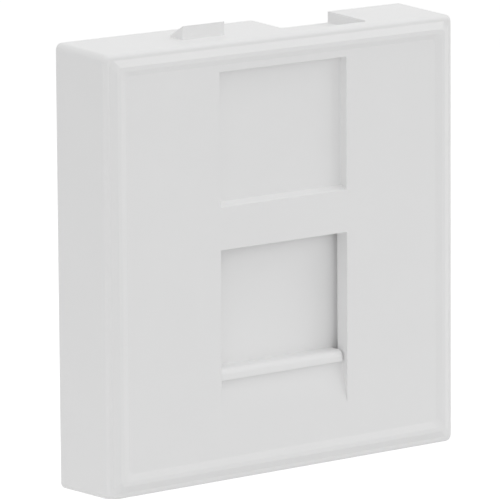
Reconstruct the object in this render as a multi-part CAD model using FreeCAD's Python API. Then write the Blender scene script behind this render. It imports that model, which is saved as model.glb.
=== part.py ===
import FreeCAD, Part
import math
import os

Vector = FreeCAD.Vector

# Shuttered ethernet socket module, in millimetres.
# X runs to the right, Y into the wall, Z up; the rear rim of the housing lies in the plane Y = 0.

# Housing: a square tray with its open side to the wall
module_width = 45.0
module_height = 45.0
wall_depth = 7.84
wall_thickness = 1.8
corner_radius = 0.7
plate_thickness = 1.6

# Rim round the face: rounded shoulder, bevel, flat crest and a slope down to the face
shoulder_round = 0.45
shoulder_land = 0.15
bevel_width = 0.7
bevel_rise = 0.36
crest_width = 0.44
slope_width = 0.72
face_recess = 0.2
rim_corner_radius = 0.6

# Label recess, bar, shutter window and finger ramp, from the top of the face down
label_top_margin = 3.43
label_width = 16.4
label_height = 13.6
label_depth = 1.0
bar_height = 4.36
window_width = 16.4
window_height = 13.4
ramp_length = 4.2
ramp_depth = 0.93

# Snap wedge and release notch of the top wall, and the same two on the bottom wall
wedge_x = -7.8
wedge_width = 5.3
wedge_height = 1.1
wedge_length = 2.2
wedge_setback = 5.0
lower_wedge_setback = 3.0
notch_x = 7.4
notch_width = 10.0
notch_depth = 1.15
notch_corner_radius = 0.6

# Shutter, its lip and its travel
shutter_gap = 0.65
panel_thickness = 1.2
panel_side_overlap = 1.6
panel_top_overlap = 2.0
panel_bottom_overlap = 0.8
panel_corner_radius = 0.5
lip_thickness = 1.2
lip_setback = 0.4
lip_round = 0.75
lip_end_radius = 0.35
lip_side_clearance = 0.12
lip_rest_gap = 0.05
lip_stop_gap = 0.1
running_clearance = 0.12

# Guide rails on the back of the face plate, and the ears that carry the springs
rail_foot_width = 0.9
rail_thickness = 1.0
rail_bite = 0.75
rail_end_margin = 0.4
ear_thickness = 1.6
ear_depth = 1.55
ear_step = 0.3
ear_root_width = 0.7

# Return springs
spring_radius = 1.3
spring_wire = 0.18
spring_length = 20.0
spring_turns = 6
spring_clearance = 0.1
spring_pin_radius = 0.8
spring_pin_length = 2.0
spring_seat_thickness = 1.4
wire_sides = 4

# Carrier that closes the tray and holds the jack
carrier_thickness = 1.6
carrier_height = 34.2
carrier_gap = 0.2
carrier_edge_clearance = 0.15
carrier_corner_radius = 1.5
block_wall = 1.5
block_depth = 9.4
aperture_clearance = 0.15
catch_setback = 5.8
catch_length = 1.6
catch_height = 0.9
catch_clearance = 0.1
post_radius = 1.5
post_x = 17.0
post_z = 13.0
tooth_z = 9.0
tooth_width = 5.0
tooth_height = 0.7
tooth_length = 1.0

# Jack housing, with the plug cavity
jack_width = 14.5
jack_height = 16.0
jack_setback = 0.1
jack_length = 13.3
latch_thickness = 2.0
latch_slot = 1.2
latch_root = 1.6
latch_length = 11.0
latch_nose = 1.2
latch_tip = 0.9
cavity_width = 11.9
cavity_height = 6.8
cavity_depth = 12.1
cavity_roof = 2.15
key_width = 6.3
key_height = 1.3
tongue_width = 3.4
tongue_height = 0.9

# Spring contacts
contact_count = 8
contact_pitch = 1.016
contact_width = 0.46
contact_thickness = 0.3
contact_clearance = 0.12
contact_cover = 0.15
contact_bend_radius = 0.55
contact_bend_setback = 2.5
contact_slope_deg = 18.0
contact_reach = 6.8
contact_tail_inset = 0.1

# Circuit board
board_thickness = 1.2
board_height = 15.6
board_corner_radius = 0.5
hole_clearance = 0.055

# Insulation displacement blocks, terminals and wire caps
rows_per_block = 4
row_pitch = 3.6
wire_slot_width = 1.0
wire_slot_depth = 4.4
idc_inner_x = 1.9
idc_width = 5.0
idc_depth = 5.6
idc_end_wall = 1.3
terminal_thickness = 0.5
terminal_width = 2.5
terminal_length = 4.8
terminal_slit = 0.4
terminal_slit_depth = 3.4
terminal_chamfer = 0.45
terminal_pin = 0.5
terminal_pin_length = 1.0
pocket_clearance = 0.1
cap_thickness = 1.2
cap_skirt = 0.8
cap_skirt_depth = 2.0
cap_clearance = 0.1
cap_rib_width = 0.8
cap_rib_depth = 0.6
cap_notch_width = 1.5

# Places along Y, from the front of the module to the back
shoulder_width = shoulder_round + shoulder_land
shoulder_y = -wall_depth
crest_y = shoulder_y - bevel_rise
face_y = crest_y + face_recess
plate_back_y = face_y + plate_thickness
panel_front_y = plate_back_y + shutter_gap
panel_back_y = panel_front_y + panel_thickness
block_front_y = panel_back_y + running_clearance
ear_back_y = panel_back_y + ear_depth
spring_y = ear_back_y - spring_clearance - spring_radius
carrier_front_y = ear_back_y + carrier_gap
carrier_back_y = carrier_front_y + carrier_thickness
block_back_y = block_front_y + block_depth
catch_y = block_front_y + catch_setback
jack_front_y = block_front_y + jack_setback
jack_back_y = jack_front_y + jack_length
board_back_y = jack_back_y + board_thickness
idc_back_y = board_back_y + idc_depth
cap_back_y = idc_back_y + cap_clearance + cap_thickness

# Places along Z
module_top = module_height / 2
label_top = module_top - label_top_margin
label_bottom = label_top - label_height
window_top = label_bottom - bar_height
window_bottom = window_top - window_height
window_middle = (window_top + window_bottom) / 2
lip_bottom = window_bottom + lip_rest_gap
lip_top = lip_bottom + lip_thickness
shutter_travel = window_top - lip_stop_gap - lip_top
panel_bottom = window_bottom - panel_bottom_overlap
panel_top = window_top + panel_top_overlap
ear_top = lip_top
ear_bottom = ear_top - ear_thickness
spring_top = ear_top + spring_length
jack_bottom = window_middle - jack_height / 2
jack_top = window_middle + jack_height / 2
jack_body_top = jack_top - latch_thickness - latch_slot
cavity_top = jack_body_top - cavity_roof
cavity_floor = cavity_top - cavity_height
contact_z = cavity_top + 2 * contact_bend_radius - contact_cover
idc_height = (rows_per_block - 1) * row_pitch + wire_slot_width + 2 * idc_end_wall

# Places along X
panel_half = window_width / 2 + panel_side_overlap
ear_root_x = panel_half - ear_root_width
block_half = ear_root_x - running_clearance
rail_inner_x = panel_half + running_clearance
rail_outer_x = rail_inner_x + rail_thickness
ear_inner_x = rail_outer_x + running_clearance
spring_x = ear_inner_x + spring_clearance + spring_radius
ear_outer_x = spring_x + spring_radius + spring_clearance
wall_inner_x = module_width / 2 - wall_thickness
idc_outer_x = idc_inner_x + idc_width
terminal_x = idc_inner_x + idc_width / 2


def closed_face(points):
    """Flat face bounded by straight lines through the points."""
    return Part.Face(Part.makePolygon(points + points[:1]))


def profile_along_x(points, x_from, x_to):
    """Solid with the given (y, z) outline, from one X to another."""
    outline = closed_face([Vector(x_from, y, z) for y, z in points])
    return outline.extrude(Vector(x_to - x_from, 0, 0))


def profile_along_y(points, y_from, y_to):
    """Solid with the given (x, z) outline, from one Y to another."""
    outline = closed_face([Vector(x, y_from, z) for x, z in points])
    return outline.extrude(Vector(0, y_to - y_from, 0))


def profile_along_z(points, z_from, z_to):
    """Solid with the given (x, y) outline, from one Z to another."""
    outline = closed_face([Vector(x, y, z_from) for x, y in points])
    return outline.extrude(Vector(0, 0, z_to - z_from))


def span(low_a, low_b, high_a, high_b):
    """Corner points of an upright rectangle."""
    return [(low_a, low_b), (high_a, low_b), (high_a, high_b), (low_a, high_b)]


def rounded_outline(width, height, radius, y, x=0.0, z=0.0):
    """Closed wire of a rectangle with round corners, in the plane of one Y."""
    half_w = width / 2
    half_h = height / 2
    slant = radius * (1 - math.sqrt(0.5))
    corners = [(1, 1), (-1, 1), (-1, -1), (1, -1)]
    arcs = []
    for number, (side_x, side_z) in enumerate(corners):
        on_side = Vector(x + side_x * half_w, y, z + side_z * (half_h - radius))
        on_end = Vector(x + side_x * (half_w - radius), y, z + side_z * half_h)
        middle = Vector(x + side_x * (half_w - slant), y, z + side_z * (half_h - slant))
        ends = (on_side, on_end) if number % 2 == 0 else (on_end, on_side)
        arcs.append((ends[0], middle, ends[1]))
    edges = []
    for number, (start, middle, end) in enumerate(arcs):
        edges.append(Part.Arc(start, middle, end).toShape())
        edges.append(Part.LineSegment(end, arcs[(number + 1) % len(arcs)][0]).toShape())
    return Part.Wire(edges)


def rounded_plate(width, height, radius, y_from, y_to, x=0.0, z=0.0):
    """Plate with round corners, from one Y to another."""
    outline = Part.Face(rounded_outline(width, height, radius, y_from, x, z))
    return outline.extrude(Vector(0, y_to - y_from, 0))


def ring_step(inset_from, y_from, inset_to, y_to, radius):
    """Bevelled block between two outlines that follow the module's edge."""
    outlines = [
        rounded_outline(module_width - 2 * inset, module_height - 2 * inset, radius, y)
        for inset, y in ((inset_from, y_from), (inset_to, y_to))
    ]
    return Part.makeLoft(outlines, True, True)


def edges_along_z(shape, y):
    """Upright edges of the shape that lie in the plane of one Y."""
    return [
        edge for edge in shape.Edges
        if all(math.isclose(vertex.Y, y) for vertex in edge.Vertexes)
        and math.isclose(edge.Vertexes[0].X, edge.Vertexes[-1].X)
    ]


def both_sides(shape):
    """The shape and its mirror image to the left."""
    return [shape, shape.mirror(Vector(0, 0, 0), Vector(1, 0, 0))]


def upside_down(shape):
    """Mirror image of the shape below the middle of the module."""
    return shape.mirror(Vector(0, 0, 0), Vector(0, 0, 1))


def one_solid(shape):
    """The single solid of a finished shape, with its split faces merged."""
    return shape.removeSplitter().Solids[0]


def contact_places():
    """X of each contact, from the left."""
    middle = (contact_count - 1) / 2
    return [(number - middle) * contact_pitch for number in range(contact_count)]


def row_places():
    """Z of each wire slot, from the top."""
    middle = (rows_per_block - 1) / 2
    return [window_middle + (middle - number) * row_pitch for number in range(rows_per_block)]


def face_rim():
    """Square tray block with the shoulder, bevel, crest and sunk face of the front."""
    block = rounded_plate(module_width, module_height, corner_radius, 0, shoulder_y)
    front_edges = [
        edge for edge in block.Edges
        if all(math.isclose(vertex.Y, shoulder_y) for vertex in edge.Vertexes)
    ]
    block = block.makeFillet(shoulder_round, front_edges)
    crest_inset = shoulder_width + bevel_width
    slope_inset = crest_inset + crest_width
    bevel = ring_step(shoulder_width, shoulder_y, crest_inset, crest_y, rim_corner_radius)
    sunk_face = ring_step(slope_inset, crest_y, slope_inset + slope_width, face_y, rim_corner_radius)
    return block.fuse(bevel).cut(sunk_face)


def face_openings():
    """What is cut from the face: label recess, shutter window and finger ramp."""
    label = profile_along_y(
        span(-label_width / 2, label_bottom, label_width / 2, label_top), crest_y, face_y + label_depth
    )
    window = profile_along_y(
        span(-window_width / 2, window_bottom, window_width / 2, window_top), crest_y, plate_back_y
    )
    ramp = profile_along_x(
        [
            (face_y, window_bottom - ramp_length),
            (face_y + ramp_depth, window_bottom),
            (crest_y, window_bottom),
            (crest_y, window_bottom - ramp_length),
        ],
        -window_width / 2,
        window_width / 2,
    )
    return [label, window, ramp]


def shutter_guides():
    """Rails for the panel's edges, with a seat and a pin for each spring."""
    rail_top_y = panel_front_y + rail_bite
    foot_top_y = panel_front_y - running_clearance
    rail = profile_along_z(
        [
            (rail_inner_x - rail_foot_width, plate_back_y),
            (rail_outer_x, plate_back_y),
            (rail_outer_x, rail_top_y),
            (rail_inner_x, rail_top_y),
            (rail_inner_x, foot_top_y),
            (rail_inner_x - rail_foot_width, foot_top_y),
        ],
        panel_bottom - rail_end_margin,
        panel_top + shutter_travel + rail_end_margin,
    )
    seat = profile_along_z(
        span(rail_inner_x, plate_back_y, ear_outer_x, ear_back_y),
        spring_top,
        spring_top + spring_seat_thickness,
    )
    pin_foot = Vector(spring_x, spring_y, spring_top)
    pin = Part.makeCylinder(spring_pin_radius, spring_pin_length, pin_foot, Vector(0, 0, -1))
    clear_of_panel = profile_along_z(
        span(rail_inner_x, rail_top_y, rail_outer_x + running_clearance, ear_back_y),
        spring_top,
        spring_top + spring_seat_thickness,
    )
    return rail.fuse([seat.cut(clear_of_panel), pin])


def carrier_supports():
    """Posts that the carrier rests on and the teeth that hold it from behind."""
    shapes = []
    for z in (-post_z, post_z):
        post = Part.makeCylinder(
            post_radius, carrier_front_y - plate_back_y, Vector(post_x, plate_back_y, z), Vector(0, 1, 0)
        )
        shapes += both_sides(post)
    tooth_y = carrier_back_y + running_clearance
    for z in (-tooth_z, tooth_z):
        tooth = profile_along_z(
            [
                (wall_inner_x, tooth_y),
                (wall_inner_x - tooth_height, tooth_y),
                (wall_inner_x, tooth_y + tooth_length),
            ],
            z - tooth_width / 2,
            z + tooth_width / 2,
        )
        shapes += both_sides(tooth)
    return shapes


def snap_wedge(setback):
    """Wedge on the top wall, steep in front and sloping down to the rear."""
    return profile_along_x(
        [
            (-setback, module_top),
            (-setback, module_top + wedge_height),
            (wedge_length - setback, module_top),
        ],
        wedge_x - wedge_width / 2,
        wedge_x + wedge_width / 2,
    )


def front_housing():
    """White moulded tray: rim, face, label recess, window, ramp, guides, snap wedges and notches."""
    hollow = rounded_plate(
        module_width - 2 * wall_thickness,
        module_height - 2 * wall_thickness,
        corner_radius,
        0,
        plate_back_y,
    )
    notch = profile_along_z(
        span(notch_x - notch_width / 2, plate_back_y, notch_x + notch_width / 2, notch_depth),
        module_top - notch_depth,
        module_top + notch_depth,
    )
    notch = notch.makeFillet(notch_corner_radius, edges_along_z(notch, plate_back_y))
    notches = [notch, upside_down(notch)]
    wedges = [snap_wedge(wedge_setback), upside_down(snap_wedge(lower_wedge_setback))]
    housing = face_rim().cut([hollow] + face_openings() + notches)
    return one_solid(housing.fuse(wedges + both_sides(shutter_guides()) + carrier_supports()))


def shutter():
    """Sliding door with a lip to push on and an ear for each spring."""
    panel = rounded_plate(
        2 * panel_half,
        panel_top - panel_bottom,
        panel_corner_radius,
        panel_front_y,
        panel_back_y,
        z=(panel_top + panel_bottom) / 2,
    )
    lip_half = window_width / 2 - lip_side_clearance
    lip_front_y = face_y + lip_setback
    lip = profile_along_z(
        span(-lip_half, lip_front_y, lip_half, panel_front_y), lip_bottom, lip_top
    )
    front_edge = [
        edge for edge in lip.Edges
        if all(math.isclose(vertex.Z, lip_top) for vertex in edge.Vertexes)
        and all(math.isclose(vertex.Y, lip_front_y) for vertex in edge.Vertexes)
    ]
    lip = lip.makeFillet(lip_round, front_edge)
    end_edges = [
        edge for edge in lip.Edges
        if math.isclose(edge.Vertexes[0].X, edge.Vertexes[-1].X)
        and not all(math.isclose(vertex.Y, panel_front_y) for vertex in edge.Vertexes)
        and not all(math.isclose(vertex.Z, lip_bottom) for vertex in edge.Vertexes)
    ]
    lip = lip.makeFillet(lip_end_radius, end_edges)
    ear_root_y = panel_back_y - ear_step
    ear = profile_along_z(
        [
            (ear_root_x, ear_root_y),
            (ear_inner_x, ear_root_y),
            (ear_inner_x, spring_y - spring_radius),
            (ear_outer_x, spring_y - spring_radius),
            (ear_outer_x, ear_back_y),
            (ear_root_x, ear_back_y),
        ],
        ear_bottom,
        ear_top,
    )
    pin_foot = Vector(spring_x, spring_y, ear_top)
    pin = Part.makeCylinder(spring_pin_radius, spring_pin_length, pin_foot, Vector(0, 0, 1))
    return one_solid(panel.fuse([lip] + both_sides(ear.fuse(pin))))


def shutter_spring(side):
    """Compression spring on its pins, with both ends ground flat."""
    pitch = spring_length / spring_turns
    coil_radius = spring_radius - spring_wire / 2
    coil = Part.makeHelix(pitch, spring_length + pitch, coil_radius)
    wire_points = []
    for number in range(wire_sides):
        angle = 2 * math.pi * number / wire_sides
        wire_points.append(
            Vector(coil_radius + spring_wire / 2 * math.cos(angle), 0, spring_wire / 2 * math.sin(angle))
        )
    section = Part.makePolygon(wire_points + wire_points[:1])
    body = Part.Wire(coil.Edges).makePipeShell([section], True, True)
    body.translate(Vector(side * spring_x, spring_y, ear_top - pitch / 2))
    reach = spring_radius + spring_clearance
    kept = profile_along_z(
        span(side * spring_x - reach, spring_y - reach, side * spring_x + reach, spring_y + reach),
        ear_top,
        spring_top,
    )
    return body.common(kept).Solids[0]


def jack_carrier():
    """Rear frame: a plate across the tray with the block that the jack snaps into."""
    plate = rounded_plate(
        module_width - 2 * (wall_thickness + carrier_edge_clearance),
        carrier_height,
        carrier_corner_radius,
        carrier_front_y,
        carrier_back_y,
    )
    block_bottom = jack_bottom - aperture_clearance - block_wall
    block_top = jack_top + aperture_clearance + block_wall
    block = profile_along_y(
        span(-block_half, block_bottom, block_half, block_top), block_front_y, block_back_y
    )
    runner = profile_along_y(
        span(block_half - block_wall, block_top, block_half, panel_top + shutter_travel),
        block_front_y,
        carrier_front_y,
    )
    aperture_half = jack_width / 2 + aperture_clearance
    aperture_top = jack_top + aperture_clearance
    aperture_bottom = jack_bottom - aperture_clearance
    aperture = profile_along_y(
        span(-aperture_half, aperture_bottom, aperture_half, aperture_top), block_front_y, block_back_y
    )
    catches = [
        profile_along_x(
            span(catch_y, low, catch_y + catch_length, low + catch_height), -aperture_half, aperture_half
        )
        for low in (aperture_bottom, aperture_top - catch_height)
    ]
    frame = plate.fuse([block] + both_sides(runner)).cut(aperture)
    return one_solid(frame.fuse(catches))


def jack_outline():
    """Side outline of the jack, with the sprung latch on top and a groove for each catch."""
    groove_front = catch_y - catch_clearance
    groove_back = catch_y + catch_length + catch_clearance
    groove_depth = catch_height - aperture_clearance + catch_clearance
    latch_back = jack_front_y + latch_length
    latch_under = jack_top - latch_thickness
    return [
        (jack_front_y, jack_bottom),
        (groove_front, jack_bottom),
        (groove_front, jack_bottom + groove_depth),
        (groove_back, jack_bottom + groove_depth),
        (groove_back, jack_bottom),
        (jack_back_y, jack_bottom),
        (jack_back_y, jack_body_top),
        (jack_front_y + latch_root, jack_body_top),
        (jack_front_y + latch_root, latch_under),
        (latch_back, latch_under),
        (latch_back, latch_under + latch_tip),
        (groove_back + latch_nose, jack_top),
        (groove_back, jack_top),
        (groove_back, jack_top - groove_depth),
        (groove_front, jack_top - groove_depth),
        (groove_front, jack_top),
        (jack_front_y, jack_top),
    ]


def jack_housing():
    """Jack body with the keyed plug cavity and a comb of slots for the contacts."""
    body = profile_along_x(jack_outline(), -jack_width / 2, jack_width / 2)
    key_floor = cavity_floor - key_height
    tongue_floor = key_floor - tongue_height
    mouth = [
        (-cavity_width / 2, cavity_top),
        (-cavity_width / 2, cavity_floor),
        (-key_width / 2, cavity_floor),
        (-key_width / 2, key_floor),
        (-tongue_width / 2, key_floor),
        (-tongue_width / 2, tongue_floor),
    ]
    mouth += [(-x, z) for x, z in reversed(mouth)]
    cavity = profile_along_y(mouth, jack_front_y, jack_front_y + cavity_depth)
    slot_half = contact_width / 2 + contact_clearance
    slot_top = contact_z + contact_thickness / 2 + contact_clearance
    slot_front = jack_front_y + contact_bend_setback - contact_bend_radius - contact_thickness
    slots = [
        profile_along_y(span(x - slot_half, cavity_top, x + slot_half, slot_top), slot_front, jack_back_y)
        for x in contact_places()
    ]
    return one_solid(body.cut([cavity] + slots))


def contact(x):
    """Bent strip: a pin through the board, a run over the cavity and a spring arm that dips into it."""
    bend_y = jack_front_y + contact_bend_setback
    slope = math.radians(contact_slope_deg)
    bend_middle = Vector(x, bend_y, contact_z - contact_bend_radius)
    start = Vector(x, board_back_y - contact_tail_inset, contact_z)
    bend_start = Vector(x, bend_y, contact_z)
    bend_front = bend_middle + Vector(0, -contact_bend_radius, 0)
    bend_end = bend_middle + Vector(0, -math.sin(slope), -math.cos(slope)) * contact_bend_radius
    tip = bend_end + Vector(0, math.cos(slope), -math.sin(slope)) * contact_reach
    path = Part.Wire(
        [
            Part.LineSegment(start, bend_start).toShape(),
            Part.Arc(bend_start, bend_front, bend_end).toShape(),
            Part.LineSegment(bend_end, tip).toShape(),
        ]
    )
    half_w = contact_width / 2
    half_t = contact_thickness / 2
    corners = [(-half_w, -half_t), (half_w, -half_t), (half_w, half_t), (-half_w, half_t)]
    points = [start + Vector(across, 0, up) for across, up in corners]
    section = Part.makePolygon(points + points[:1])
    return path.makePipeShell([section], True, False).Solids[0]


def circuit_board():
    """Board on the back of the jack, drilled for the contacts and the terminals."""
    board = rounded_plate(
        jack_width, board_height, board_corner_radius, jack_back_y, board_back_y, z=window_middle
    )
    contact_hole = math.hypot(contact_width, contact_thickness) / 2 + hole_clearance
    terminal_hole = math.hypot(terminal_pin, terminal_thickness) / 2 + hole_clearance
    drills = [(x, contact_z, contact_hole) for x in contact_places()]
    drills += [(side * terminal_x, z, terminal_hole) for side in (-1, 1) for z in row_places()]
    holes = [
        Part.makeCylinder(radius, board_thickness, Vector(x, jack_back_y, z), Vector(0, 1, 0))
        for x, z, radius in drills
    ]
    return one_solid(board.cut(holes))


def idc_block(side):
    """Comb of pillars with a slot for each wire and a pocket for each terminal."""
    body = profile_along_y(
        span(idc_inner_x, window_middle - idc_height / 2, idc_outer_x, window_middle + idc_height / 2),
        board_back_y,
        idc_back_y,
    )
    pocket_left = terminal_x - terminal_thickness / 2 - pocket_clearance
    pocket_right = terminal_x + terminal_thickness / 2 + pocket_clearance
    pocket_half_z = terminal_width / 2 + pocket_clearance
    pocket_back_y = board_back_y + terminal_length + pocket_clearance
    cuts = []
    for z in row_places():
        cuts.append(
            profile_along_y(
                span(idc_inner_x, z - wire_slot_width / 2, idc_outer_x, z + wire_slot_width / 2),
                idc_back_y - wire_slot_depth,
                idc_back_y,
            )
        )
        cuts.append(
            profile_along_y(
                span(pocket_left, z - pocket_half_z, pocket_right, z + pocket_half_z),
                board_back_y,
                pocket_back_y,
            )
        )
    block = one_solid(body.cut(cuts))
    return both_sides(block)[0 if side > 0 else 1]


def idc_terminal(side, z):
    """Stamped fork with a slit that grips the wire and a pin in the board."""
    half_w = terminal_width / 2
    half_slit = terminal_slit / 2
    half_pin = terminal_pin / 2
    back_y = board_back_y + terminal_length
    outline = [
        (board_back_y - terminal_pin_length, -half_pin),
        (board_back_y, -half_pin),
        (board_back_y, -half_w),
        (back_y - terminal_chamfer, -half_w),
        (back_y, -half_w + terminal_chamfer),
        (back_y - terminal_chamfer, -half_slit),
        (back_y - terminal_slit_depth, -half_slit),
    ]
    outline += [(y, -across) for y, across in reversed(outline)]
    middle = side * terminal_x
    return profile_along_x(
        [(y, z + across) for y, across in outline],
        middle - terminal_thickness / 2,
        middle + terminal_thickness / 2,
    )


def wire_cap(side):
    """Cap over one block, with skirts, wire notches and ribs that press the wires home."""
    cap_front_y = idc_back_y + cap_clearance
    skirt_front_y = cap_front_y - cap_skirt_depth
    inner = idc_inner_x - cap_clearance
    outer = idc_outer_x + cap_clearance
    low = window_middle - idc_height / 2
    high = window_middle + idc_height / 2
    channel = profile_along_z(
        [
            (inner - cap_skirt, skirt_front_y),
            (inner, skirt_front_y),
            (inner, cap_front_y),
            (outer, cap_front_y),
            (outer, skirt_front_y),
            (outer + cap_skirt, skirt_front_y),
            (outer + cap_skirt, cap_back_y),
            (inner - cap_skirt, cap_back_y),
        ],
        low,
        high,
    )
    notches = []
    ribs = []
    for z in row_places():
        notches.append(
            profile_along_y(
                span(
                    inner - cap_skirt, z - cap_notch_width / 2, outer + cap_skirt, z + cap_notch_width / 2
                ),
                skirt_front_y,
                cap_front_y,
            )
        )
        ribs.append(
            profile_along_y(
                span(inner, z - cap_rib_width / 2, outer, z + cap_rib_width / 2),
                cap_front_y - cap_rib_depth,
                cap_front_y,
            )
        )
    cap = one_solid(channel.cut(notches).fuse(ribs))
    return both_sides(cap)[0 if side > 0 else 1]


sides = {"left": -1, "right": 1}
nodes = {
    "front_housing": front_housing(),
    "shutter": shutter(),
    "jack_carrier": jack_carrier(),
    "jack_housing": jack_housing(),
    "circuit_board": circuit_board(),
}
for place, x in enumerate(contact_places()):
    nodes[f"contact_{place + 1}"] = contact(x)
for name, side in sides.items():
    nodes[f"shutter_spring_{name}"] = shutter_spring(side)
    nodes[f"idc_block_{name}"] = idc_block(side)
    nodes[f"wire_cap_{name}"] = wire_cap(side)
    for place, z in enumerate(row_places()):
        nodes[f"idc_terminal_{name}_{place + 1}"] = idc_terminal(side, z)

os.makedirs("parts", exist_ok=True)
for name, shape in nodes.items():
    shape.exportStep(f"parts/{name}.step")
print(f"shutter travel {shutter_travel:.2f} mm, {len(nodes)} nodes")
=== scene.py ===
import bpy
import bmesh
import math
from mathutils import Matrix, Vector


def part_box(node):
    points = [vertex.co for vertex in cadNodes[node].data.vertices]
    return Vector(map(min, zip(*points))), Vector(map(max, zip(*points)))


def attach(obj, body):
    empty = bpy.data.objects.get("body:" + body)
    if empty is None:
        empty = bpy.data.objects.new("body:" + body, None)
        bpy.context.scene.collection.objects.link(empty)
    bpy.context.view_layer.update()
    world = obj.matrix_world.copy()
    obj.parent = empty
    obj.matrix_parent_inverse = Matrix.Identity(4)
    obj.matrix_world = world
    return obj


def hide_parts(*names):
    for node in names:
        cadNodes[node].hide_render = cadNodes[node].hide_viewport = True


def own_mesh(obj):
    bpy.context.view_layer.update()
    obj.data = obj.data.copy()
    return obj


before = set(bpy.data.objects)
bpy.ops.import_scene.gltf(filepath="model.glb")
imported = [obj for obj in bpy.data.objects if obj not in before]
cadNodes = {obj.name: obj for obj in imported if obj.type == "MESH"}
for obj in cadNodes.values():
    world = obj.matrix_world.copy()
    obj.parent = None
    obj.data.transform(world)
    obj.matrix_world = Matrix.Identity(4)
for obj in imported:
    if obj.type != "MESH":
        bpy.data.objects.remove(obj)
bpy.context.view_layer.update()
scene = bpy.context.scene
scene.view_settings.view_transform = "Standard"
print("frame loaded with", len(cadNodes), "nodes")


# node tree helpers

mixColors = {"first": 6, "second": 7, "result": 2}  # colour sockets of a Mix node, by number


def feed(tree, socket, value):
    if isinstance(value, bpy.types.NodeSocket):
        tree.links.new(value, socket)
    elif value is not None:
        socket.default_value = value


def addNode(tree, kind, place, sockets=None, **settings):
    node = tree.nodes.new(kind)
    node.location = place
    for name, value in settings.items():
        setattr(node, name, value)
    for name, value in (sockets or {}).items():
        feed(tree, node.inputs[name], value)
    return node


def addMath(tree, operation, place, first, second=None):
    node = addNode(tree, "ShaderNodeMath", place, operation=operation)
    feed(tree, node.inputs[0], first)
    feed(tree, node.inputs[1], second)
    return node.outputs[0]


def addColorMix(tree, place, factor, first, second):
    node = addNode(tree, "ShaderNodeMix", place, {"Factor": factor}, data_type="RGBA")
    feed(tree, node.inputs[mixColors["first"]], first)
    feed(tree, node.inputs[mixColors["second"]], second)
    return node.outputs[mixColors["result"]]


def addSockets(tree, inputs, outputs):
    made = {}
    for name, kind, value in inputs:
        socket = tree.interface.new_socket(name=name, in_out="INPUT", socket_type="NodeSocket" + kind)
        if value is not None:
            socket.default_value = value
        made[name] = socket.identifier
    for name, kind in outputs:
        tree.interface.new_socket(name=name, in_out="OUTPUT", socket_type="NodeSocket" + kind)
    return made


# shared shader groups

roughSwing = {"speckle": 0.22, "sheen": 0.10, "streak": 0.3}  # how far each noise moves the roughness


def addSwing(tree, place, noise):
    return addMath(tree, "SUBTRACT", place, noise.outputs["Fac"], 0.5)  # noise about zero


def makeMouldedGrain():
    tree = bpy.data.node_groups.new("mouldedGrain", "ShaderNodeTree")
    addSockets(
        tree,
        [
            ("Vector", "Vector", None),
            ("Color", "Color", (0.8, 0.8, 0.8, 1.0)),
            ("Grain Scale", "Float", 6000.0),
            ("Cloud Scale", "Float", 140.0),
            ("Cloud Amount", "Float", 0.02),
            ("Gloss", "Float", 0.45),
        ],
        [("Color", "Color"), ("Roughness", "Float"), ("Height", "Float")],
    )
    inside = addNode(tree, "NodeGroupInput", (-900, 0)).outputs
    grain = addNode(
        tree,
        "ShaderNodeTexNoise",
        (-600, 200),
        {"Vector": inside["Vector"], "Scale": inside["Grain Scale"], "Detail": 3.0, "Roughness": 0.6},
    )
    cloud = addNode(
        tree,
        "ShaderNodeTexNoise",
        (-600, -150),
        {"Vector": inside["Vector"], "Scale": inside["Cloud Scale"], "Detail": 4.0, "Roughness": 0.5},
    )
    drift = addSwing(tree, (-350, -150), cloud)
    tone = addMath(tree, "MULTIPLY", (-180, -150), drift, inside["Cloud Amount"])
    tone = addMath(tree, "ADD", (0, -150), tone, 1.0)
    tint = addNode(tree, "ShaderNodeVectorMath", (250, 100), {"Scale": tone}, operation="SCALE")
    feed(tree, tint.inputs[0], inside["Color"])
    speckle = addSwing(tree, (-350, 250), grain)
    speckle = addMath(tree, "MULTIPLY", (-180, 250), speckle, roughSwing["speckle"])
    sheen = addMath(tree, "MULTIPLY", (-180, -350), drift, roughSwing["sheen"])
    rough = addMath(tree, "ADD", (0, 250), inside["Gloss"], speckle)
    rough = addMath(tree, "ADD", (180, 300), rough, sheen)
    addNode(
        tree,
        "NodeGroupOutput",
        (700, 0),
        {"Color": tint.outputs[0], "Roughness": rough, "Height": grain.outputs["Fac"]},
    )
    return tree


def makeDrawnMetal():
    tree = bpy.data.node_groups.new("drawnMetal", "ShaderNodeTree")
    addSockets(
        tree,
        [
            ("Vector", "Vector", None),
            ("Bright", "Color", (0.8, 0.8, 0.8, 1.0)),
            ("Dull", "Color", (0.6, 0.6, 0.6, 1.0)),
            ("Streak Scale", "Float", 3000.0),
            ("Gloss", "Float", 0.25),
        ],
        [("Color", "Color"), ("Roughness", "Float"), ("Height", "Float")],
    )
    inside = addNode(tree, "NodeGroupInput", (-900, 0)).outputs
    streak = addNode(
        tree,
        "ShaderNodeTexNoise",
        (-600, 150),
        {"Vector": inside["Vector"], "Scale": inside["Streak Scale"], "Detail": 4.0, "Roughness": 0.65},
    )
    stain = addNode(
        tree,
        "ShaderNodeTexNoise",
        (-600, -150),
        {"Vector": inside["Vector"], "Scale": 700.0, "Detail": 2.0},
    )
    color = addColorMix(tree, (-200, -100), stain.outputs["Fac"], inside["Bright"], inside["Dull"])
    swing = addSwing(tree, (-350, 250), streak)
    swing = addMath(tree, "MULTIPLY", (-180, 250), swing, roughSwing["streak"])
    rough = addMath(tree, "ADD", (0, 250), inside["Gloss"], swing)
    addNode(
        tree,
        "NodeGroupOutput",
        (600, 0),
        {"Color": color, "Roughness": rough, "Height": streak.outputs["Fac"]},
    )
    return tree


mouldedGrain = makeMouldedGrain()
drawnMetal = makeDrawnMetal()
print("shader groups built")


# materials

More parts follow.
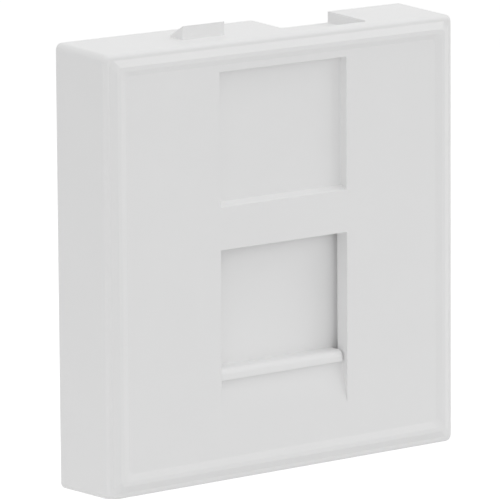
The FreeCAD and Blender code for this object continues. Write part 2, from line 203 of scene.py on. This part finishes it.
grainNames = {
    "Color": "color",
    "Grain Scale": "grainScale",
    "Cloud Scale": "cloudScale",
    "Cloud Amount": "cloudAmount",
    "Gloss": "gloss",
}
metalNames = {"Bright": "bright", "Dull": "dull", "Streak Scale": "streakScale", "Gloss": "gloss"}


def startMaterial(name):
    material = bpy.data.materials.new(name)
    material.use_nodes = True
    tree = material.node_tree
    tree.nodes.clear()
    surface = addNode(tree, "ShaderNodeBsdfPrincipled", (350, 0))
    addNode(tree, "ShaderNodeOutputMaterial", (700, 0), {"Surface": surface.outputs[0]})
    return material, tree, surface


def objectPlace(tree):
    return addNode(tree, "ShaderNodeTexCoord", (-900, 0)).outputs["Object"]


def joinGroup(tree, surface, group, names, vector, look):
    sockets = {socketName: look[lookName] for socketName, lookName in names.items()}
    effect = addNode(tree, "ShaderNodeGroup", (-400, 0), {**sockets, "Vector": vector}, node_tree=group)
    bump = addNode(
        tree,
        "ShaderNodeBump",
        (50, -250),
        {"Strength": look["bump"], "Distance": look["bumpDepth"], "Height": effect.outputs["Height"]},
    )
    feed(tree, surface.inputs["Base Color"], effect.outputs["Color"])
    feed(tree, surface.inputs["Roughness"], effect.outputs["Roughness"])
    feed(tree, surface.inputs["Normal"], bump.outputs["Normal"])
    return effect


def mouldedPlastic(name, look):
    material, tree, surface = startMaterial(name)
    surface.inputs["IOR"].default_value = look["ior"]
    surface.inputs["Specular IOR Level"].default_value = look["specular"]
    joinGroup(tree, surface, mouldedGrain, grainNames, objectPlace(tree), look)
    return material


def wornMetal(name, look):
    material, tree, surface = startMaterial(name)
    surface.inputs["Metallic"].default_value = 1.0
    stretch = addNode(
        tree, "ShaderNodeMapping", (-650, 0), {"Vector": objectPlace(tree), "Scale": look["stretch"]}
    )
    joinGroup(tree, surface, drawnMetal, metalNames, stretch.outputs["Vector"], look)
    return material


whitePlastic = {
    "color": (0.87, 0.87, 0.87, 1.0),
    "grainScale": 5200.0,
    "cloudScale": 130.0,
    "cloudAmount": 0.03,
    "gloss": 0.46,
    "ior": 1.5,
    "specular": 0.4,
    "bump": 0.12,
    "bumpDepth": 0.00002,
}
housingWhite = mouldedPlastic("housingWhite", whitePlastic)
# the shutter is the housing's plastic painted paler, as painted light that offsets the shade it sits in
# behind the window
shutterWhitePaintedLight = mouldedPlastic(
    "shutterWhitePaintedLight", {**whitePlastic, "color": (0.89, 0.89, 0.89, 1.0), "gloss": 0.42}
)
carrierWhite = mouldedPlastic(
    "carrierWhite",
    {**whitePlastic, "color": (0.82, 0.82, 0.81, 1.0), "grainScale": 3600.0, "gloss": 0.52},
)
capWhite = mouldedPlastic(
    "capWhite", {**whitePlastic, "color": (0.72, 0.72, 0.71, 1.0), "gloss": 0.36, "bump": 0.06}
)
darkPlastic = {
    "color": (0.030, 0.030, 0.033, 1.0),
    "grainScale": 4200.0,
    "cloudScale": 260.0,
    "cloudAmount": 0.25,
    "gloss": 0.42,
    "ior": 1.5,
    "specular": 0.5,
    "bump": 0.15,
    "bumpDepth": 0.00002,
}
jackBlack = mouldedPlastic("jackBlack", darkPlastic)
blockBlack = mouldedPlastic(
    "blockBlack", {**darkPlastic, "color": (0.045, 0.045, 0.048, 1.0), "gloss": 0.5}
)
plainMetal = {"stretch": (1.0, 1.0, 1.0), "bumpDepth": 0.00001}
contactGold = wornMetal(
    "contactGold",
    {
        **plainMetal,
        "bright": (0.90, 0.70, 0.33, 1.0),
        "dull": (0.80, 0.58, 0.24, 1.0),
        "stretch": (1.0, 0.15, 1.0),
        "streakScale": 5000.0,
        "gloss": 0.24,
        "bump": 0.08,
    },
)
terminalTin = wornMetal(
    "terminalTin",
    {
        **plainMetal,
        "bright": (0.74, 0.73, 0.70, 1.0),
        "dull": (0.60, 0.59, 0.56, 1.0),
        "stretch": (1.0, 0.3, 1.0),
        "streakScale": 3600.0,
        "gloss": 0.34,
        "bump": 0.10,
    },
)
springSteel = wornMetal(
    "springSteel",
    {
        **plainMetal,
        "bright": (0.66, 0.66, 0.68, 1.0),
        "dull": (0.50, 0.50, 0.52, 1.0),
        "streakScale": 4200.0,
        "gloss": 0.26,
        "bump": 0.10,
    },
)
solderTin = wornMetal(
    "solderTin",
    {
        **plainMetal,
        "bright": (0.78, 0.78, 0.79, 1.0),
        "dull": (0.62, 0.62, 0.63, 1.0),
        "streakScale": 2600.0,
        "gloss": 0.28,
        "bump": 0.18,
    },
)


def solderMask(name, look):
    material, tree, surface = startMaterial(name)
    vector = objectPlace(tree)
    turn = addNode(
        tree,
        "ShaderNodeMapping",
        (-700, 300),
        {"Vector": vector, "Rotation": (math.radians(90), 0.0, 0.0)},  # into the plane of the board
    )
    trace = addNode(
        tree,
        "ShaderNodeTexBrick",
        (-450, 300),
        {
            "Vector": turn.outputs["Vector"],
            "Scale": look["traceScale"],
            "Mortar Size": look["traceWidth"],
            "Mortar Smooth": look["traceSoftness"],
            "Brick Width": look["traceLength"],
            "Row Height": look["tracePitch"],
            "Color1": look["color"],
            "Color2": look["color"],
            "Mortar": look["trace"],
        },
    )
    effect = joinGroup(tree, surface, mouldedGrain, grainNames, vector, look)
    facing = addNode(tree, "ShaderNodeNewGeometry", (-900, 550))
    parts = addNode(tree, "ShaderNodeSeparateXYZ", (-700, 550), {"Vector": facing.outputs["Normal"]})
    flat = addMath(tree, "ABSOLUTE", (-550, 550), parts.outputs["Y"])
    flat = addMath(tree, "GREATER_THAN", (-400, 550), flat, look["flatFrom"])
    color = addColorMix(tree, (-200, 450), flat, look["edge"], trace.outputs["Color"])
    feed(tree, effect.inputs["Color"], color)
    return material


boardGreen = solderMask(
    "boardGreen",
    {
        "color": (0.020, 0.115, 0.045, 1.0),
        "trace": (0.045, 0.200, 0.080, 1.0),
        "edge": (0.230, 0.250, 0.120, 1.0),  # bare laminate round the board
        "flatFrom": 0.5,
        "traceScale": 1000.0,
        "traceWidth": 0.06,
        "traceSoftness": 0.2,
        "traceLength": 2.6,
        "tracePitch": 0.5,
        "grainScale": 4000.0,
        "cloudScale": 300.0,
        "cloudAmount": 0.2,
        "gloss": 0.3,
        "bump": 0.06,
        "bumpDepth": 0.00002,
    },
)
print("materials built")


# CAD shapes with softened edges

softening = {
    "mergeWithin": 0.000002,
    "flatBelow": 0.6,  # degrees
    "normalWeight": 80,  # large faces lead the shading
}
triangleShading = ("custom_normal", "sharp_edge", "sharp_face")


def shapeHousing(work, look):
    ledge, wall, near = look["ledge"], look["topWall"], look["near"]
    for vert in work.verts:
        y, z = vert.co.yz
        if abs(z - ledge["bottom"]) < near and abs(y - ledge["back"]) < near:
            vert.co.z += ledge["rise"]  # floor of the label recess slopes up to its back
        if wall["from"] < z < wall["to"]:
            share = wall["faceShare"] if abs(y - wall["face"]) < near else 1.0
            vert.co.z -= share * wall["draft"] * y / wall["front"]  # lower at the front than at the rear


def isOnRim(point, rim):
    return point.y < rim["depth"] and max(abs(point.x), abs(point.z)) > rim["reach"]


def markEdges(work, look):
    weights = work.edges.layers.float.new("bevel_weight_edge")
    for edge in work.edges:
        if len(edge.link_faces) == 2:
            onRim = "rim" in look and all(isOnRim(vert.co, look["rim"]) for vert in edge.verts)
            sharpFrom = look["rim"]["sharpFrom"] if onRim else look["sharpFrom"]
            if edge.calc_face_angle() > math.radians(sharpFrom):
                edge[weights] = 1.0


def shadeSmooth(mesh):
    for polygon in mesh.polygons:
        polygon.use_smooth = True


def finishDraft(draft, pieceName, material):
    graph = bpy.context.evaluated_depsgraph_get()
    mesh = bpy.data.meshes.new_from_object(draft.evaluated_get(graph), depsgraph=graph)
    mesh.name = pieceName
    mesh.materials.clear()
    mesh.materials.append(material)
    piece = bpy.data.objects.new(pieceName, mesh)
    scene.collection.objects.link(piece)
    old = draft.data
    bpy.data.objects.remove(draft)
    if old.users == 0:
        bpy.data.meshes.remove(old)
    return piece


def softCopy(nodeName, pieceName, look):
    mesh = cadNodes[nodeName].data.copy()
    mesh.name = pieceName
    for layer in triangleShading:
        if layer in mesh.attributes:
            mesh.attributes.remove(mesh.attributes[layer])
    work = bmesh.new()
    work.from_mesh(mesh)
    bmesh.ops.remove_doubles(work, verts=work.verts, dist=softening["mergeWithin"])  # one skin
    bmesh.ops.dissolve_limit(
        work,
        angle_limit=math.radians(softening["flatBelow"]),
        use_dissolve_boundaries=False,
        verts=work.verts,
        edges=work.edges,
    )
    bmesh.ops.recalc_face_normals(work, faces=work.faces)
    markEdges(work, look)
    if "topWall" in look:
        shapeHousing(work, look)
    work.to_mesh(mesh)
    work.free()
    mesh.materials.clear()
    shadeSmooth(mesh)
    draft = bpy.data.objects.new(pieceName + "Draft", mesh)
    scene.collection.objects.link(draft)
    soften = draft.modifiers.new("soften", "BEVEL")
    soften.limit_method = "WEIGHT"
    soften.width = look["radius"]
    soften.segments = look["segments"]
    soften.use_clamp_overlap = look["clamp"]
    soften.miter_outer = "MITER_ARC"
    level = draft.modifiers.new("level", "WEIGHTED_NORMAL")
    level.keep_sharp = True
    level.weight = softening["normalWeight"]
    return finishDraft(draft, pieceName, look["material"])


def mountPiece(piece, body, slotName, *nodeNames):
    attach(piece, body)
    if nodeNames:
        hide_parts(*nodeNames)


housingLook = {
    "radius": 0.00004,
    "clamp": False,
    "segments": 3,
    "sharpFrom": 24.0,
    "near": 0.00003,  # a point this close is at the place
    "rim": {"sharpFrom": 8.0, "depth": -0.0079, "reach": 0.0192},  # its slopes meet at shallow angles
    "ledge": {"bottom": 0.00547, "back": -0.007, "rise": 0.0004},
    "topWall": {
        "from": 0.0193,
        "to": 0.02255,
        "front": -0.00784,
        "draft": 0.00045,
        "face": -0.008,
        "faceShare": 0.5,  # for the upper edge of the sunk face
    },
    "material": housingWhite,
}
housingShell = softCopy("front_housing", "housingShell", housingLook)
mountPiece(housingShell, "housing", "housing_white", "front_housing")

plainEdges = {"clamp": False, "sharpFrom": 30.0}
shutterLook = {
    **plainEdges,
    "radius": 0.00012,
    "clamp": True,  # short edges leave little room
    "segments": 3,
    "material": shutterWhitePaintedLight,
}
shutterDoor = softCopy("shutter", "shutterDoor", shutterLook)
mountPiece(shutterDoor, "shutter", "shutter_white", "shutter")

carrierLook = {**plainEdges, "radius": 0.00008, "segments": 3, "material": carrierWhite}
carrierFrame = softCopy("jack_carrier", "carrierFrame", carrierLook)
mountPiece(carrierFrame, "housing", "carrier_white", "jack_carrier")

jackLook = {**plainEdges, "radius": 0.00005, "segments": 2, "material": jackBlack}
jackBody = softCopy("jack_housing", "jackBody", jackLook)
mountPiece(jackBody, "housing", "jack_plastic", "jack_housing")

blockLook = {**plainEdges, "radius": 0.00005, "segments": 2, "material": blockBlack}
capLook = {**plainEdges, "radius": 0.00008, "segments": 3, "material": capWhite}
for side in ("left", "right"):
    block = softCopy("idc_block_" + side, "terminalBlock" + side.title(), blockLook)
    mountPiece(block, "housing", "terminal_plastic", "idc_block_" + side)
    cap = softCopy("wire_cap_" + side, "wireCap" + side.title(), capLook)
    mountPiece(cap, "housing", "cap_plastic", "wire_cap_" + side)
print("moulded pieces softened")


# metal and board keep their CAD shape

def paintNode(nodeName, material):
    for spot in cadNodes[nodeName].material_slots:
        spot.material = material


paintNode("circuit_board", boardGreen)
for nodeName in cadNodes:
    if nodeName.startswith("contact_"):
        paintNode(nodeName, contactGold)
    elif nodeName.startswith("idc_terminal_"):
        paintNode(nodeName, terminalTin)
print("metal and board painted")


# return springs, wound by a node tree

springWind = {"turns": 8.0, "endTurns": 1.0, "wire": 0.00018, "sides": 10, "stepsPerTurn": 40}


def closeTree(tree, x, geometry, material):
    real = addNode(tree, "GeometryNodeRealizeInstances", (x, 250), {"Geometry": geometry})
    coat = addNode(
        tree,
        "GeometryNodeSetMaterial",
        (x + 150, 250),
        {"Geometry": real.outputs[0], "Material": material},
    )
    addNode(tree, "NodeGroupOutput", (x + 300, 250), {"Geometry": coat.outputs[0]})


def makeSpringTree():
    tree = bpy.data.node_groups.new("windSpring", "GeometryNodeTree")
    sockets = addSockets(
        tree,
        [
            ("Base", "Vector", (0.0, 0.0, 0.0)),
            ("Length", "Float", 0.02),
            ("Coil Radius", "Float", 0.0012),
            ("Wire", "Float", 0.0002),
            ("Turns", "Float", 8.0),
            ("End Turns", "Float", 1.0),
            ("Steps", "Int", 320),
            ("Sides", "Int", 10),
            ("Material", "Material", None),
        ],
        [("Geometry", "Geometry")],
    )
    tree.is_modifier = True
    inside = addNode(tree, "NodeGroupInput", (-1400, 0)).outputs
    turns, ends, wire, radius = (inside[name] for name in ("Turns", "End Turns", "Wire", "Coil Radius"))
    line = addNode(tree, "GeometryNodeCurvePrimitiveLine", (-900, 300))
    cut = addNode(
        tree,
        "GeometryNodeResampleCurve",
        (-650, 300),
        {"Curve": line.outputs[0], "Count": inside["Steps"]},
    )
    along = addNode(tree, "GeometryNodeSplineParameter", (-1150, -200))
    turn = addMath(tree, "MULTIPLY", (-900, -200), along.outputs["Factor"], turns)
    angle = addMath(tree, "MULTIPLY", (-700, -100), turn, 2 * math.pi)
    across = addMath(tree, "COSINE", (-500, 0), angle)
    across = addMath(tree, "MULTIPLY", (-300, 0), across, radius)
    deep = addMath(tree, "SINE", (-500, -150), angle)
    deep = addMath(tree, "MULTIPLY", (-300, -150), deep, radius)
    bothEnds = addMath(tree, "MULTIPLY", (-1100, -400), ends, 2.0)
    active = addMath(tree, "SUBTRACT", (-900, -400), turns, bothEnds)  # turns with air between them
    dead = addMath(tree, "MULTIPLY", (-900, -550), bothEnds, wire)  # height of the closed turns
    room = addMath(tree, "SUBTRACT", (-900, -700), inside["Length"], wire)
    room = addMath(tree, "SUBTRACT", (-700, -650), room, dead)
    pitch = addMath(tree, "DIVIDE", (-500, -650), room, active)
    low = addMath(tree, "MINIMUM", (-500, -300), turn, ends)
    middle = addMath(tree, "SUBTRACT", (-700, -350), turn, ends)
    middle = addMath(tree, "MAXIMUM", (-500, -400), middle, 0.0)
    middle = addMath(tree, "MINIMUM", (-300, -400), middle, active)
    upperEnd = addMath(tree, "ADD", (-850, -480), active, ends)
    high = addMath(tree, "SUBTRACT", (-700, -500), turn, upperEnd)
    high = addMath(tree, "MAXIMUM", (-500, -520), high, 0.0)
    closed = addMath(tree, "ADD", (-250, -300), low, high)
    closed = addMath(tree, "MULTIPLY", (-100, -300), closed, wire)
    spread = addMath(tree, "MULTIPLY", (-100, -450), middle, pitch)
    halfWire = addMath(tree, "MULTIPLY", (100, -550), wire, 0.5)
    rise = addMath(tree, "ADD", (100, -400), closed, spread)
    rise = addMath(tree, "ADD", (250, -400), rise, halfWire)
    point = addNode(tree, "ShaderNodeCombineXYZ", (400, -100), {"X": across, "Y": deep, "Z": rise})
    shift = addNode(tree, "ShaderNodeVectorMath", (550, -100), operation="ADD")
    feed(tree, shift.inputs[0], point.outputs[0])
    feed(tree, shift.inputs[1], inside["Base"])
    move = addNode(
        tree,
        "GeometryNodeSetPosition",
        (550, 250),
        {"Geometry": cut.outputs["Curve"], "Position": shift.outputs[0]},
    )
    ring = addNode(
        tree,
        "GeometryNodeCurvePrimitiveCircle",
        (400, 450),
        {"Resolution": inside["Sides"], "Radius": halfWire},
    )
    sweep = addNode(
        tree,
        "GeometryNodeCurveToMesh",
        (750, 250),
        {"Curve": move.outputs["Geometry"], "Profile Curve": ring.outputs["Curve"], "Fill Caps": True},
    )
    closeTree(tree, 900, sweep.outputs[0], inside["Material"])
    return tree, sockets


def runTree(tree, sockets, values, pieceName):
    draft = bpy.data.objects.new(pieceName + "Draft", bpy.data.meshes.new(pieceName + "Draft"))
    scene.collection.objects.link(draft)
    modifier = draft.modifiers.new(tree.name, "NODES")
    modifier.node_group = tree
    for name, value in values.items():
        modifier[sockets[name]] = value
    piece = finishDraft(draft, pieceName, values["Material"])
    work = bmesh.new()
    work.from_mesh(piece.data)
    bmesh.ops.recalc_face_normals(work, faces=work.faces)
    work.to_mesh(piece.data)
    work.free()
    shadeSmooth(piece.data)
    return piece


springTree, springSockets = makeSpringTree()
for side in ("left", "right"):
    low, high = (Vector(corner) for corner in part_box("shutter_spring_" + side))
    middle = (low + high) / 2
    spring = runTree(
        springTree,
        springSockets,
        {
            "Base": (middle.x, middle.y, low.z),
            "Length": high.z - low.z,
            "Coil Radius": (high.x - low.x - springWind["wire"]) / 2,
            "Wire": springWind["wire"],
            "Turns": springWind["turns"],
            "End Turns": springWind["endTurns"],
            "Steps": int(springWind["turns"] * springWind["stepsPerTurn"]),
            "Sides": springWind["sides"],
            "Material": springSteel,
        },
        "returnSpring" + side.title(),
    )
    mountPiece(spring, "housing", "spring_steel", "shutter_spring_" + side)
    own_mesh(spring)
print("springs wound")


# solder joints on the back of the board, set out by a node tree

solderRow = {
    "first": -0.001524,
    "step": 0.001016,
    "count": 4,  # the tails between the terminal blocks
    "tailHalf": 0.00015,
    "radius": 0.00042,
    "rise": 0.75,
}


def makeSolderTree():
    tree = bpy.data.node_groups.new("setSolder", "GeometryNodeTree")
    sockets = addSockets(
        tree,
        [
            ("First", "Vector", (0.0, 0.0, 0.0)),
            ("Step", "Vector", (0.001, 0.0, 0.0)),
            ("Count", "Int", 4),
            ("Radius", "Float", 0.0004),
            ("Rise", "Float", 0.7),
            ("Material", "Material", None),
        ],
        [("Geometry", "Geometry")],
    )
    tree.is_modifier = True
    inside = addNode(tree, "NodeGroupInput", (-900, 0)).outputs
    row = addNode(
        tree,
        "GeometryNodeMeshLine",
        (-600, 200),
        {"Count": inside["Count"], "Start Location": inside["First"], "Offset": inside["Step"]},
    )
    drop = addNode(
        tree,
        "GeometryNodeMeshUVSphere",
        (-600, -100),
        {"Segments": 28, "Rings": 18, "Radius": inside["Radius"]},
    )
    spot = addNode(tree, "GeometryNodeInputPosition", (-900, -350))
    parts = addNode(tree, "ShaderNodeSeparateXYZ", (-700, -350), {"Vector": spot.outputs[0]}).outputs
    above = addMath(tree, "MAXIMUM", (-500, -350), parts["Y"], 0.0)  # flat on the board
    above = addMath(tree, "MULTIPLY", (-350, -350), above, inside["Rise"])
    point = addNode(
        tree, "ShaderNodeCombineXYZ", (-200, -350), {"X": parts["X"], "Y": above, "Z": parts["Z"]}
    )
    dome = addNode(
        tree,
        "GeometryNodeSetPosition",
        (-100, -100),
        {"Geometry": drop.outputs["Mesh"], "Position": point.outputs[0]},
    )
    spread = addNode(
        tree,
        "GeometryNodeInstanceOnPoints",
        (150, 150),
        {"Points": row.outputs[0], "Instance": dome.outputs[0]},
    )
    closeTree(tree, 400, spread.outputs[0], inside["Material"])
    return tree, sockets


solderTree, solderSockets = makeSolderTree()
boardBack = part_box("circuit_board")[1][1]
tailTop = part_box("contact_4")[1][2]
solderJoints = runTree(
    solderTree,
    solderSockets,
    {
        "First": (solderRow["first"], boardBack, tailTop - solderRow["tailHalf"]),
        "Step": (solderRow["step"], 0.0, 0.0),
        "Count": solderRow["count"],
        "Radius": solderRow["radius"],
        "Rise": solderRow["rise"],
        "Material": solderTin,
    },
    "solderJoints",
)
mountPiece(solderJoints, "housing", "terminal_metal")
print("solder joints set")


# floor, light and camera

pureWhite = (1.0, 1.0, 1.0, 1.0)
floorLook = {
    "height": -0.10,
    "half": 3.0,
    "color": (0.72, 0.72, 0.72, 1.0),
    "roughness": 0.9,
    "glow": 0.6,
}


def addSeenRays(tree, x, y):
    path = addNode(tree, "ShaderNodeLightPath", (x, y)).outputs
    seen = addMath(tree, "MAXIMUM", (x + 200, y), path["Is Camera Ray"], path["Is Glossy Ray"])
    return addMath(tree, "MAXIMUM", (x + 350, y), seen, path["Is Transmission Ray"])


def makeFloor(look):
    mesh = bpy.data.meshes.new("studioFloor")
    half, level = look["half"], look["height"]
    corners = [(-half, -half, level), (half, -half, level), (half, half, level), (-half, half, level)]
    mesh.from_pydata(corners, [], [(0, 1, 2, 3)])
    floor = bpy.data.objects.new("studioFloor", mesh)
    scene.collection.objects.link(floor)
    material, tree, surface = startMaterial("paleFloor")
    surface.inputs["Base Color"].default_value = look["color"]
    surface.inputs["Roughness"].default_value = look["roughness"]
    surface.inputs["Specular IOR Level"].default_value = 0.0
    surface.inputs["Emission Color"].default_value = pureWhite
    seen = addSeenRays(tree, -300, -300)
    glow = addMath(tree, "MULTIPLY", (200, -300), seen, look["glow"])
    feed(tree, surface.inputs["Emission Strength"], glow)
    mesh.materials.append(material)


def makeSky(strength):
    world = bpy.data.worlds.new("studioSky")
    scene.world = world
    world.use_nodes = True
    tree = world.node_tree
    tree.nodes.clear()
    seen = addSeenRays(tree, -300, 0)
    lift = addMath(tree, "MULTIPLY", (200, 0), seen, 1.0 - strength)
    level = addMath(tree, "ADD", (350, 0), lift, strength)  # white where it is seen
    sky = addNode(tree, "ShaderNodeBackground", (500, 0), {"Color": pureWhite, "Strength": level})
    addNode(tree, "ShaderNodeOutputWorld", (700, 0), {"Surface": sky.outputs[0]})


def addSoftbox(name, look):
    lamp = bpy.data.lights.new(name, "AREA")
    lamp.shape = "RECTANGLE"
    lamp.size, lamp.size_y = look["size"]
    lamp.energy = look["power"]
    box = bpy.data.objects.new(name, lamp)
    scene.collection.objects.link(box)
    box.location = look["at"]
    box.rotation_euler = (Vector(look["aim"]) - Vector(look["at"])).to_track_quat("-Z", "Y").to_euler()


skyLevel = 0.55
partMiddle = (0.0, -0.006, 0.0)
softboxes = {
    "topSoftbox": {"size": (0.6, 0.6), "power": 0.86, "at": (0.0, 0.0, 0.6), "aim": partMiddle},
    "keySoftbox": {"size": (0.5, 0.4), "power": 0.61, "at": (-0.5, -0.6, 0.16), "aim": partMiddle},
    "frontSoftbox": {"size": (0.5, 0.4), "power": 0.16, "at": (0.1, -0.6, 0.16), "aim": partMiddle},
    "rightSoftbox": {"size": (0.4, 0.4), "power": 0.75, "at": (0.5, -0.25, 0.3), "aim": partMiddle},
    "leftSoftbox": {"size": (0.5, 0.4), "power": 0.19, "at": (-0.5, 0.15, 0.2), "aim": partMiddle},
    "sideCard": {
        "size": (0.1, 0.04),
        "power": 0.0107,
        "at": (-0.11, -0.02, -0.055),
        "aim": (-0.022, -0.004, -0.02),
    },
    "frontCard": {
        "size": (0.08, 0.03),
        "power": 0.0025,
        "at": (0.06, -0.07, -0.055),
        "aim": (0.008, -0.008, -0.02),
    },
}
makeFloor(floorLook)
makeSky(skyLevel)
for name, look in softboxes.items():
    addSoftbox(name, look)

photoView = {
    "lens": 432.0,
    "sensor": 36.0,
    "yaw": -38.97,
    "pitch": 10.03,
    "roll": -0.38,
    "distance": 0.6111,
    "target": (0.002, 0.0, -0.00103),
}


def placeCamera(view):
    yaw, pitch, roll = (math.radians(view[name]) for name in ("yaw", "pitch", "roll"))
    back = Vector((math.sin(yaw) * math.cos(pitch), -math.cos(yaw) * math.cos(pitch), math.sin(pitch)))
    right = Vector((math.cos(yaw), math.sin(yaw), 0.0))
    up = back.cross(right)
    rolledRight = right * math.cos(roll) + up * math.sin(roll)
    rolledUp = up * math.cos(roll) - right * math.sin(roll)
    matrix = Matrix((rolledRight, rolledUp, back)).transposed().to_4x4()
    matrix.translation = Vector(view["target"]) + back * view["distance"]
    lens = bpy.data.cameras.new("photoCamera")
    lens.sensor_fit = "HORIZONTAL"
    lens.sensor_width = view["sensor"]
    lens.lens = view["lens"]
    camera = bpy.data.objects.new("photoCamera", lens)
    scene.collection.objects.link(camera)
    camera.matrix_world = matrix
    scene.camera = camera


placeCamera(photoView)
print("floor, light and camera set")
